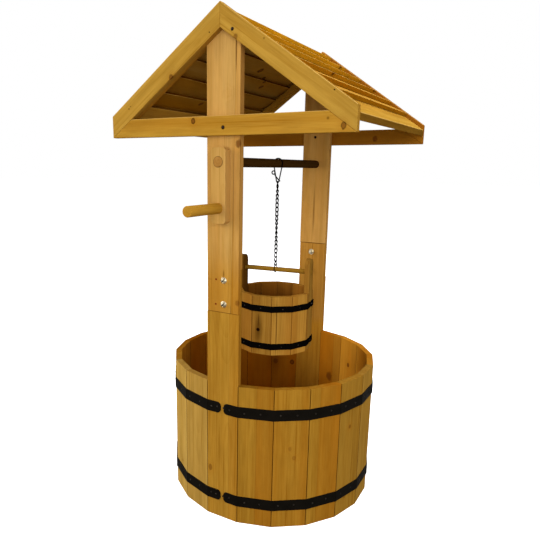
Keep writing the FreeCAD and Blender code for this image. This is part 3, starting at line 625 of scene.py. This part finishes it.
BUCKET_MARKS = (
    hole(0.0029, -0.0950, 0.4280, 0.0052), ("stain", (0.0040, -0.0950, 0.4280), (0.014, 0.014, 0.060), 0.9),
    ("crack", (0.0036, -0.0950, 0.4520), (0.0010, 0.003, 0.018), 1.0),
    ("crack", (0.0470, -0.0830, 0.4350), (0.0011, 0.003, 0.085), 1.0),
    ("crack", (-0.0139, -0.0985, 0.4350), (0.0013, 0.004, 0.100), 0.9),
    ("stain", (0.0934, 0.0157, 0.5700), (0.006, 0.006, 0.024), 0.8),
    ("crack", (0.0934, 0.0157, 0.5740), (0.002, 0.0014, 0.014), 0.8),
    knot(-0.0600, -0.0740, 0.4400, 0.0060), knot(0.0400, 0.0880, 0.4450, 0.0060),
)
AXLE_MARKS = (("bare", (0.0, -ARM, AXLE_UP), (0.0104, 0.006, 0.0104), 1.0),)

tub_pine = pine("tub_pine", rgb(184, 134, 44), rgb(146, 94, 16), rgb(168, 98, 12), TUB_MARKS, cut_and_shade_share=0.15)
post_pine = pine("post_pine", rgb(206, 160, 88), rgb(176, 128, 54), rgb(190, 130, 52), POST_MARKS)
# Roof boards get a painted highlight on eased upper edges. The eave boards' down-facing cut faces get painted
# shade, and the slats' butts darker edge grain and painted shade.
roof_pine = pine("roof_pine", rgb(190, 144, 52), rgb(156, 106, 22), rgb(164, 100, 20), ROOF_MARKS,
                 cut_and_shade_share=0.3, highlight_share=0.5)
slat_pine = pine("slat_pine", rgb(212, 174, 88), rgb(174, 130, 42), rgb(184, 120, 22), ROOF_MARKS,
                 cut_and_shade_share=1.0, cut_stain_and_shade=SLAT_BUTT_STAIN_AND_SHADE, highlight_share=0.6)
eave_pine = pine("eave_pine", rgb(192, 146, 56), rgb(158, 108, 26), rgb(166, 104, 24), ROOF_MARKS,
                 cut_and_shade_share=1.0, cut_stain_and_shade=EAVE_SIDE_SHADE, highlight_share=0.4)
floor_pine = pine("floor_pine", rgb(150, 104, 44), rgb(114, 74, 22), rgb(120, 70, 18))
# The bucket's inside faces are darkened as painted shade; its seams are painted as joint shade
bucket_pine = pine("bucket_pine", rgb(176, 130, 52), rgb(130, 84, 22), rgb(152, 92, 24), BUCKET_MARKS,
                   cut_and_shade_share=0.5, seam_shade_share=0.45)
axle_pine = pine("axle_pine", rgb(80, 54, 20), rgb(50, 30, 8), rgb(60, 34, 8), AXLE_MARKS, cut_and_shade_share=0.0)
peg_pine = pine("peg_pine", rgb(204, 158, 60), rgb(176, 124, 34), rgb(186, 126, 34), cut_and_shade_share=0.0)

# Tone and warmth of boards, 0 for the plain colour; a board that isn't named gets its own at random. A few
# tones also hold painted light and shade, as said beside them.

STAVES = [f"stave_{number:02d}" for number in range(1, 19)]
# Staves 06 to 08 are brightened as painted light on the tub's inner right wall
STAVE_TONES_AND_LIGHT = {
    "stave_01": (-0.6, 0.0), "stave_02": (-0.5, 0.05), "stave_03": (-0.6, 0.0), "stave_04": (-1.0, -0.2),
    "stave_05": (-0.35, -0.4), "stave_06": (1.6, 0.3), "stave_07": (1.9, 0.25), "stave_08": (1.7, 0.35),
    "stave_09": (0.3, 0.5), "stave_10": (-0.2, 0.8), "stave_11": (-0.1, 0.9), "stave_12": (-0.3, 0.8),
    "stave_13": (-0.5, 0.5), "stave_14": (-0.6, 0.5), "stave_15": (-0.5, 0.4), "stave_17": (0.35, -0.75),
    "stave_18": (-0.1, -0.6), "front_lower_post": (0.0, -0.15), "rear_lower_post": (0.3, 0.2),
}
STAVE_STRIPS = {
    "stave_01": strip_edge(-72, 0.002), "stave_03": strip_edge(-36, -0.014),
    "stave_06": strip_edge(18, 0.01), "stave_09": strip_edge(72, -0.012),
    "stave_12": strip_edge(144, 0.008), "stave_14": strip_edge(180, -0.01),
    "stave_18": strip_edge(-108, -0.02), "front_lower_post": strip_edge(-90, 0.0165),
}
POST_STRIP = ((0.0206, 0, 0.510), (0.99988, 0, -0.01535))
ROOF_TONES = {
    "front_rafter_right": (0.0, -0.3), "front_rafter_left": (0.0, -0.3), "front_tie": (0.2, -0.1),
    "rear_rafter_right": (-0.5, 0.8), "rear_tie": (-1.0, 0.8),
}
# The right slope's slats are brightened as painted light, and the left slope's darkened as painted shade
SLAT_TONES_AND_LIGHT = [(2.0, 0.0), (1.5, 0.0), (1.2, 0.1), (0.8, 0.25), (0.6, 0.45), (0.6, 0.55)]
LEFT_SLAT_TONES_AND_SHADE = [(tone - 2.4, warmth + 0.25) for tone, warmth in SLAT_TONES_AND_LIGHT]
BUCKET_TONES = {
    -143: (0.0, 0.1), -113: (0.1, 0.1), -83: (-0.3, 0.0), -53: (0.8, 0.0), -23: (1.3, 0.1), 37: (-0.4, 0.4),
    67: (0.2, 0.3), 97: (-0.5, 0.5), 127: (0.1, 0.3), 157: (-0.6, 0.4),
}

GABLES = [f"{where}_rafter_{hand}" for where in ("front", "rear") for hand in ("right", "left")]
GABLES += ["front_tie", "rear_tie"]
SLAT_GAP = 0.75 * MM
ALONG_X = (1, 0, 0)
ALONG_Y = (0, 1, 0)
ALONG_BAR = (0.9925, 0.1219, 0)

# How wide the edges are eased
TUB_EASE = 1.5 * MM
POST_EASE = 1.6 * MM
ARM_EASE = 1.4 * MM
ROOF_EASE = 1.1 * MM
DOWEL_EASE = 1.2 * MM
BAR_EASE = 0.6 * MM
BUCKET_EASE = 1.0 * MM
EAR_EASE = 0.8 * MM

for node in STAVES + ["front_lower_post", "rear_lower_post"]:
    tones = [STAVE_TONES_AND_LIGHT[node]] if node in STAVE_TONES_AND_LIGHT else None
    board_piece(node, tub_pine, TUB_EASE, tones=tones, glue=STAVE_STRIPS.get(node), rim=RIM)
board_piece("front_upper_post", post_pine, POST_EASE, tones=[(0.1, 0.0)], glue=POST_STRIP)
board_piece("rear_upper_post", post_pine, POST_EASE, tones=[(-0.3, 0.25)])
board_piece("crank_arm", post_pine, ARM_EASE, tones=[(-0.15, -0.1)])
for node in GABLES + ["roof_cleats"]:
    board_piece(node, roof_pine, ROOF_EASE, tones=[ROOF_TONES[node]] if node in ROOF_TONES else None)
board_piece("eave_board_right", eave_pine, ROOF_EASE, tones=[(0.4, -0.1)])
board_piece("eave_board_left", eave_pine, ROOF_EASE, tones=[(0.2, 0.0)])
board_piece("roof_slats_right", slat_pine, ROOF_EASE, tones=SLAT_TONES_AND_LIGHT, press=SLAT_GAP)
board_piece("roof_slats_left", slat_pine, ROOF_EASE, tones=LEFT_SLAT_TONES_AND_SHADE, press=SLAT_GAP)
for node in ("floor_boards", "floor_battens"):
    board_piece(node, floor_pine)
board_piece("bucket_staves", bucket_pine, BUCKET_EASE, tones=BUCKET_TONES, rim=BUCKET_RIM,
            sector=bucket_sector)
board_piece("bucket_ear_right", bucket_pine, EAR_EASE, tones=[(-0.5, 0.0)], rim=BUCKET_RIM)
# The left ear is darkened as painted shade
board_piece("bucket_ear_left", bucket_pine, EAR_EASE, tones=[(-3.0, 0.3)], rim=BUCKET_RIM)
board_piece("bucket_base", bucket_pine, grain=ALONG_X)
board_piece("axle", axle_pine, DOWEL_EASE, grain=ALONG_Y)
board_piece("crank_peg", peg_pine, DOWEL_EASE, grain=ALONG_Y, tones=[(-0.5, 0.2)])
board_piece("bucket_bar", peg_pine, BAR_EASE, grain=ALONG_BAR, tones=[(-1.9, 0.1)])

# Metal

BOLT_HEAD_FACE = 0.2608
BOLT_UPS = (0.526, 0.579)
# Screw slots of the bolt heads, painted dark as the shade inside them
SLOTS = [((-0.0020 * side, BOLT_HEAD_FACE * side, up), (-0.766, 0.0, 0.643 * -side))
         for side in (-1, 1) for up in BOLT_UPS]
hoop_paint = painted_steel("hoop_paint", rgb(11, 9, 6), rgb(22, 18, 13), 0.42, specular=0.03)
bucket_paint = painted_steel("bucket_paint", rgb(5, 4, 4), rgb(13, 11, 9), 0.42)
wire_paint = painted_steel("wire_paint", rgb(3, 2, 2), rgb(9, 7, 6), 0.45, relief=0.1)
nail_steel = bare_steel("nail_steel", rgb(58, 53, 46), rgb(32, 28, 24), 0.3)
screw_steel = bare_steel("screw_steel", rgb(40, 30, 24), rgb(22, 16, 12), 0.35)
zinc = bare_steel("zinc_plate", rgb(224, 212, 180), rgb(150, 140, 116), 0.3, SLOTS)
FINISHES = {
    "post_bolts": zinc, "post_nuts": zinc, "upper_hoop_right": hoop_paint, "upper_hoop_left": hoop_paint,
    "lower_hoop_right": hoop_paint, "lower_hoop_left": hoop_paint, "bucket_upper_hoop": bucket_paint,
    "bucket_lower_hoop": bucket_paint,
}
for node, material in FINISHES.items():
    frame["nodes"][node].data.materials.clear()
    frame["nodes"][node].data.materials.append(material)


def circle(steps):
    """Angles in equal steps around a circle."""
    return [2 * math.pi * step / steps for step in range(steps)]


def skin(bm, rows, closed=False):
    """Faces between rings of corners, and from the last ring to the first where they close a loop."""
    for row, following in zip(rows, rows[1:] + rows[:1] if closed else rows[1:]):
        for step in range(len(row)):
            after = (step + 1) % len(row)
            bm.faces.new((row[step], row[after], following[after], following[step]))


# A nail head's rings, as shares of its radius and height, from below the surface up to its domed top
DOME = ((1.0, -0.3), (1.0, 0.3), (0.8, 0.72), (0.45, 0.94))
DOME_STEPS = 12


def nail_heads(name, body, material, spots, radius, height):
    """Low domed heads, each at a point of a surface and square to it."""
    bm = bmesh.new()
    for point, out in spots:
        turn = Vector(out).to_track_quat("Z", "Y")
        rows = []
        for share, level in DOME:
            row = []
            for angle in circle(DOME_STEPS):
                across, up = math.cos(angle) * radius * share, math.sin(angle) * radius * share
                row.append(bm.verts.new(Vector(point) + turn @ Vector((across, up, level * height))))
            rows.append(row)
        top = bm.verts.new(Vector(point) + turn @ Vector((0, 0, height)))
        bm.faces.new(rows[0][::-1])
        skin(bm, rows)
        for step in range(DOME_STEPS):
            bm.faces.new((rows[-1][step], rows[-1][(step + 1) % DOME_STEPS], top))
    return add_piece(name, mesh_from(bm, name, smooth=True), body, material)


# Each hoop of the tub has two nails to a stave and four to a post; each hoop of the bucket has one to a stave,
# and one more on its first side

POST_NAILS = (-0.0275, -0.0145, 0.0045, 0.0195)
STAVE_NAILS = (-0.0245, 0.0125)
scatter = random.Random("nails")
for level, up in (("upper", 0.282), ("lower", 0.057)):
    spots = []
    for face in range(20):
        for across in STAVE_NAILS if face % 10 else POST_NAILS:
            across += scatter.uniform(-0.002, 0.002)
            place = up + scatter.uniform(-0.002, 0.002)
            spots.append(ring_face(TUB_STEP * face - 90, across, place, HOOP))
    nail_heads(f"{level}_hoop_nails", "frame", nail_steel, spots, 2.1 * MM, 1.0 * MM)
for level, up in (("upper", 0.4822), ("lower", 0.3872)):
    spots = []
    for face in range(12):
        across = scatter.uniform(-0.004, 0.004)
        place = up + scatter.uniform(-0.0015, 0.0015)
        spots.append(ring_face(BUCKET_TURN + BUCKET_STEP * face, across, place, BUCKET_HOOP))
    spots.append(ring_face(BUCKET_TURN, 0.009, up, BUCKET_HOOP))
    nail_heads(f"bucket_{level}_hoop_nails", "bucket", nail_steel, spots, 1.5 * MM, 0.8 * MM)

forwards = Vector((0, -1, 0))
screws = [((0.0281, -0.2706, 1.0722), forwards), ((0.0078, -0.2706, 0.8939), forwards),
          ((-0.0043, 0.2410, 0.9002), forwards), ((-0.0281, 0.2700, 1.0722), -forwards),
          ((0.004, 0.2700, 0.8939), -forwards)]
nail_heads("frame_screws", "frame", screw_steel, screws, 3.1 * MM, 0.7 * MM)


# Smooth wire


def wire_piece(name, lines, radius, node, steps=10, open_lines=()):
    """Round wire along centre lines, closed ones first, in place of a node's faceted wire."""
    bm = bmesh.new()
    for line in [*lines, *open_lines]:
        middle = sum(line, Vector()) / len(line)
        closed = line in lines
        rows = []
        for index, point in enumerate(line):
            before = line[index - 1] if closed or index else point
            after = line[(index + 1) % len(line)] if closed or index < len(line) - 1 else point
            along = (after - before).normalized()
            out = point - middle + (Vector() if closed else Vector((0, -1, 0)))
            out = (out - along * out.dot(along)).normalized()
            side = along.cross(out)
            rows.append([bm.verts.new(point + radius * (out * math.cos(angle) + side * math.sin(angle)))
                         for angle in circle(steps)])
        skin(bm, rows, closed)
        if not closed:
            bm.faces.new(rows[0][::-1])
            bm.faces.new(rows[-1])
    bmesh.ops.recalc_face_normals(bm, faces=bm.faces)
    piece = add_piece(name, mesh_from(bm, name, smooth=True), BODY_OF[node], wire_paint)
    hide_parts(node)
    return piece


def arc(centre_x, centre_z, radius, start, end, steps):
    """Points on an arc in the XZ plane; angles in radians from +X towards +Z."""
    angles = (start + (end - start) * step / steps for step in range(steps + 1))
    return [Vector((centre_x + radius * math.cos(angle), 0, centre_z + radius * math.sin(angle)))
            for angle in angles]


def rounded(points, steps=5):
    """A smooth line through the points."""
    line = []
    ends = [points[0], *points, points[-1]]
    for before, start, end, after in zip(ends, ends[1:], ends[2:], ends[3:]):
        for step in range(steps):
            share = step / steps
            line.append(0.5 * (2 * start + (end - before) * share
                               + (2 * before - 5 * start + 4 * end - after) * share ** 2
                               + (3 * start - before - 3 * end + after) * share ** 3))
    return line + [points[-1]]


# The chain: ovals twisted by a quarter turn from end to end, each turned a little from the one below it

LINKS = 20
CHAIN_WIRE = 1.4 * MM
LINK_BEND = 3.1 * MM
LINK_REACH = 6.365 * MM
LINK_PITCH = 10.38 * MM
FIRST_LINK_UP = 777.535 * MM
LAST_TURN = -19
TURN_STEP = 17
oval = arc(0, LINK_REACH - LINK_BEND, LINK_BEND, 0, math.pi, 14)
oval += arc(0, LINK_BEND - LINK_REACH, LINK_BEND, math.pi, 2 * math.pi, 14)
chain_lines = []
for index in range(LINKS):
    turn = LAST_TURN + TURN_STEP * (LINKS - 1 - index)
    middle = Vector((0, 0, FIRST_LINK_UP - index * LINK_PITCH))
    line = []
    for point in oval:
        twist = math.radians(turn - 45 * point.z / LINK_REACH)
        line.append(Matrix.Rotation(twist, 3, "Z") @ point + middle)
    chain_lines.append(line)
chain = wire_piece("chain_links", chain_lines, CHAIN_WIRE, "chain", 8)
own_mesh(chain)

# The hook: a loop that hugs the axle and narrows to a foot in the chain, a curl, and the wire's free end

HOOK_WIRE = 1.45 * MM
HOOK_RADIUS = 11.95 * MM
FOOT_RADIUS = 3.3 * MM
FOOT_UP = 0.78465
CURL_RADIUS = 4 * MM
lean = math.asin((HOOK_RADIUS - FOOT_RADIUS) / (AXLE_UP - FOOT_UP))
loop = arc(0, AXLE_UP, HOOK_RADIUS, -lean, math.pi + lean, 40)
loop += arc(0, FOOT_UP, FOOT_RADIUS, math.pi + lean, 2 * math.pi - lean, 12)
curl = arc(-12.2 * MM, AXLE_UP - 22 * MM, CURL_RADIUS, 0, 2 * math.pi, 28)[:-1]
free_end = [Vector(point) * MM for point in (
    (-9.4, 0.0, 802.4), (-7.2, -1.6, 799.6), (-4.6, -2.7, 796.6), (0.0, -2.8, 791.6), (3.6, -2.7, 787.6),
    (5.4, -1.4, 785.6), (5.6, 0.6, 785.0), (4.2, 2.4, 785.2))]
wire_piece("hook_wire", [loop, curl], HOOK_WIRE, "chain_hook", 12, [rounded(free_end)])

# The ring around the bucket's bar

RING_WIRE = 1.1 * MM
RING_RADIUS = 9.6 * MM
RING_UP = Vector((0, 0, 0.5669))
ring_turn = Matrix.Rotation(math.radians(97), 3, "Z")
ring = [ring_turn @ point + RING_UP for point in arc(0, 0, RING_RADIUS, 0, 2 * math.pi, 40)[:-1]]
wire_piece("bail_ring_wire", [ring], RING_WIRE, "bail_ring", 10)

# Floor, background and light

WHITE = (1, 1, 1, 1)
DIM_WORLD = 0.14
world = bpy.data.worlds.new("studio")
bpy.context.scene.world = world
sky = Tree(owner=world, shader="Background")
sky.finish(Color=WHITE, Strength=DIM_WORLD)
seen = sky.node("ShaderNodeBackground", Color=WHITE, Strength=1.0)
rays = sky.nodes.new("ShaderNodeLightPath").outputs
seen_share = sky.most((rays["Is Camera Ray"], rays["Is Glossy Ray"], rays["Is Transmission Ray"]))
sky.set(sky.nodes["World Output"].inputs[0],
        sky.node("ShaderNodeMixShader", i0=seen_share, i1=sky.shader.outputs[0], i2=seen))

REACH = 30.0
floor_mesh = bpy.data.meshes.new("floor")
floor_mesh.from_pydata([(-REACH, -REACH, 0), (REACH, -REACH, 0), (REACH, REACH, 0), (-REACH, REACH, 0)], [],
                       [(0, 1, 2, 3)])
floor = bpy.data.objects.new("floor", floor_mesh)
bpy.context.collection.objects.link(floor)
paper = Tree("floor_paper")
looked_at = paper.node("ShaderNodeLightPath", "Is Camera Ray")
paper_colour = paper.mix(looked_at, (0.2, 0.2, 0.2, 1), (0.9, 0.9, 0.9, 1))
floor_mesh.materials.append(paper.finish(Base_Color=paper_colour, Roughness=0.9, Specular_IOR_Level=0.0))
glow = paper.node("ShaderNodeEmission", Color=WHITE, Strength=paper.maths("MULTIPLY", looked_at, 0.92))
paper.set(paper.nodes["Material Output"].inputs[0],
          paper.node("ShaderNodeAddShader", i0=paper.shader.outputs[0], i1=glow))


def lamp(name, turn, height, distance, width, power, colour):
    """A square soft light aimed at the middle of the well; turn and height are angles in degrees."""
    data = bpy.data.lights.new(name, "AREA")
    data.energy = power
    data.size = width
    data.color = colour
    item = bpy.data.objects.new(name, data)
    bpy.context.collection.objects.link(item)
    turn, height = math.radians(turn), math.radians(height)
    towards = Vector((math.cos(height) * math.cos(turn), math.cos(height) * math.sin(turn), math.sin(height)))
    item.location = Vector((0, 0, 0.5)) + towards * distance
    item.rotation_euler = (-towards).to_track_quat("-Z", "Y").to_euler()


PLAIN_LIGHT = (1, 1, 1)
WARM_LIGHT = (1.0, 0.99, 0.97)
lamp("left_side", -165, 28, 3.8, 1.8, 100, WARM_LIGHT)
lamp("left_front", -125, 12, 3.8, 2.4, 35, WARM_LIGHT)
lamp("front", -62, 9, 3.6, 2.6, 84, PLAIN_LIGHT)
lamp("right_side", -8, 8, 3.6, 2.0, 30, PLAIN_LIGHT)
lamp("top", 30, 72, 3.4, 2.0, 85, PLAIN_LIGHT)
lamp("behind", 100, 12, 3.8, 2.4, 32, PLAIN_LIGHT)

# Camera, from the photograph: its place, turn and focal length, with the picture's middle shifted

FRAME_PIXELS = 540
FOCAL_PIXELS = 542.9
MIDDLE_ACROSS = 234.16
MIDDLE_DOWN = 296.73
CAMERA_PLACE = (0.6006, -1.2333, 0.8156)
YAW = math.radians(30.354)
PITCH = math.radians(-13.358)
ROLL = math.radians(0.459)

camera_data = bpy.data.cameras.new("camera")
camera = bpy.data.objects.new("camera", camera_data)
bpy.context.collection.objects.link(camera)
bpy.context.scene.camera = camera
camera_data.sensor_width = 36.0
camera_data.lens = FOCAL_PIXELS / FRAME_PIXELS * camera_data.sensor_width
camera_data.shift_x = (FRAME_PIXELS / 2 - MIDDLE_ACROSS) / FRAME_PIXELS
camera_data.shift_y = (MIDDLE_DOWN - FRAME_PIXELS / 2) / FRAME_PIXELS
camera.location = CAMERA_PLACE
ahead = Vector((-math.sin(YAW) * math.cos(PITCH), math.cos(YAW) * math.cos(PITCH), math.sin(PITCH)))
right = Vector((math.cos(YAW), math.sin(YAW), 0))
above = right.cross(ahead)
across = right * math.cos(ROLL) + above * math.sin(ROLL)
upward = above * math.cos(ROLL) - right * math.sin(ROLL)
camera.rotation_mode = "QUATERNION"
camera.rotation_quaternion = Matrix((across, upward, -ahead)).transposed().to_quaternion()

bpy.context.scene.view_settings.view_transform = "Standard"
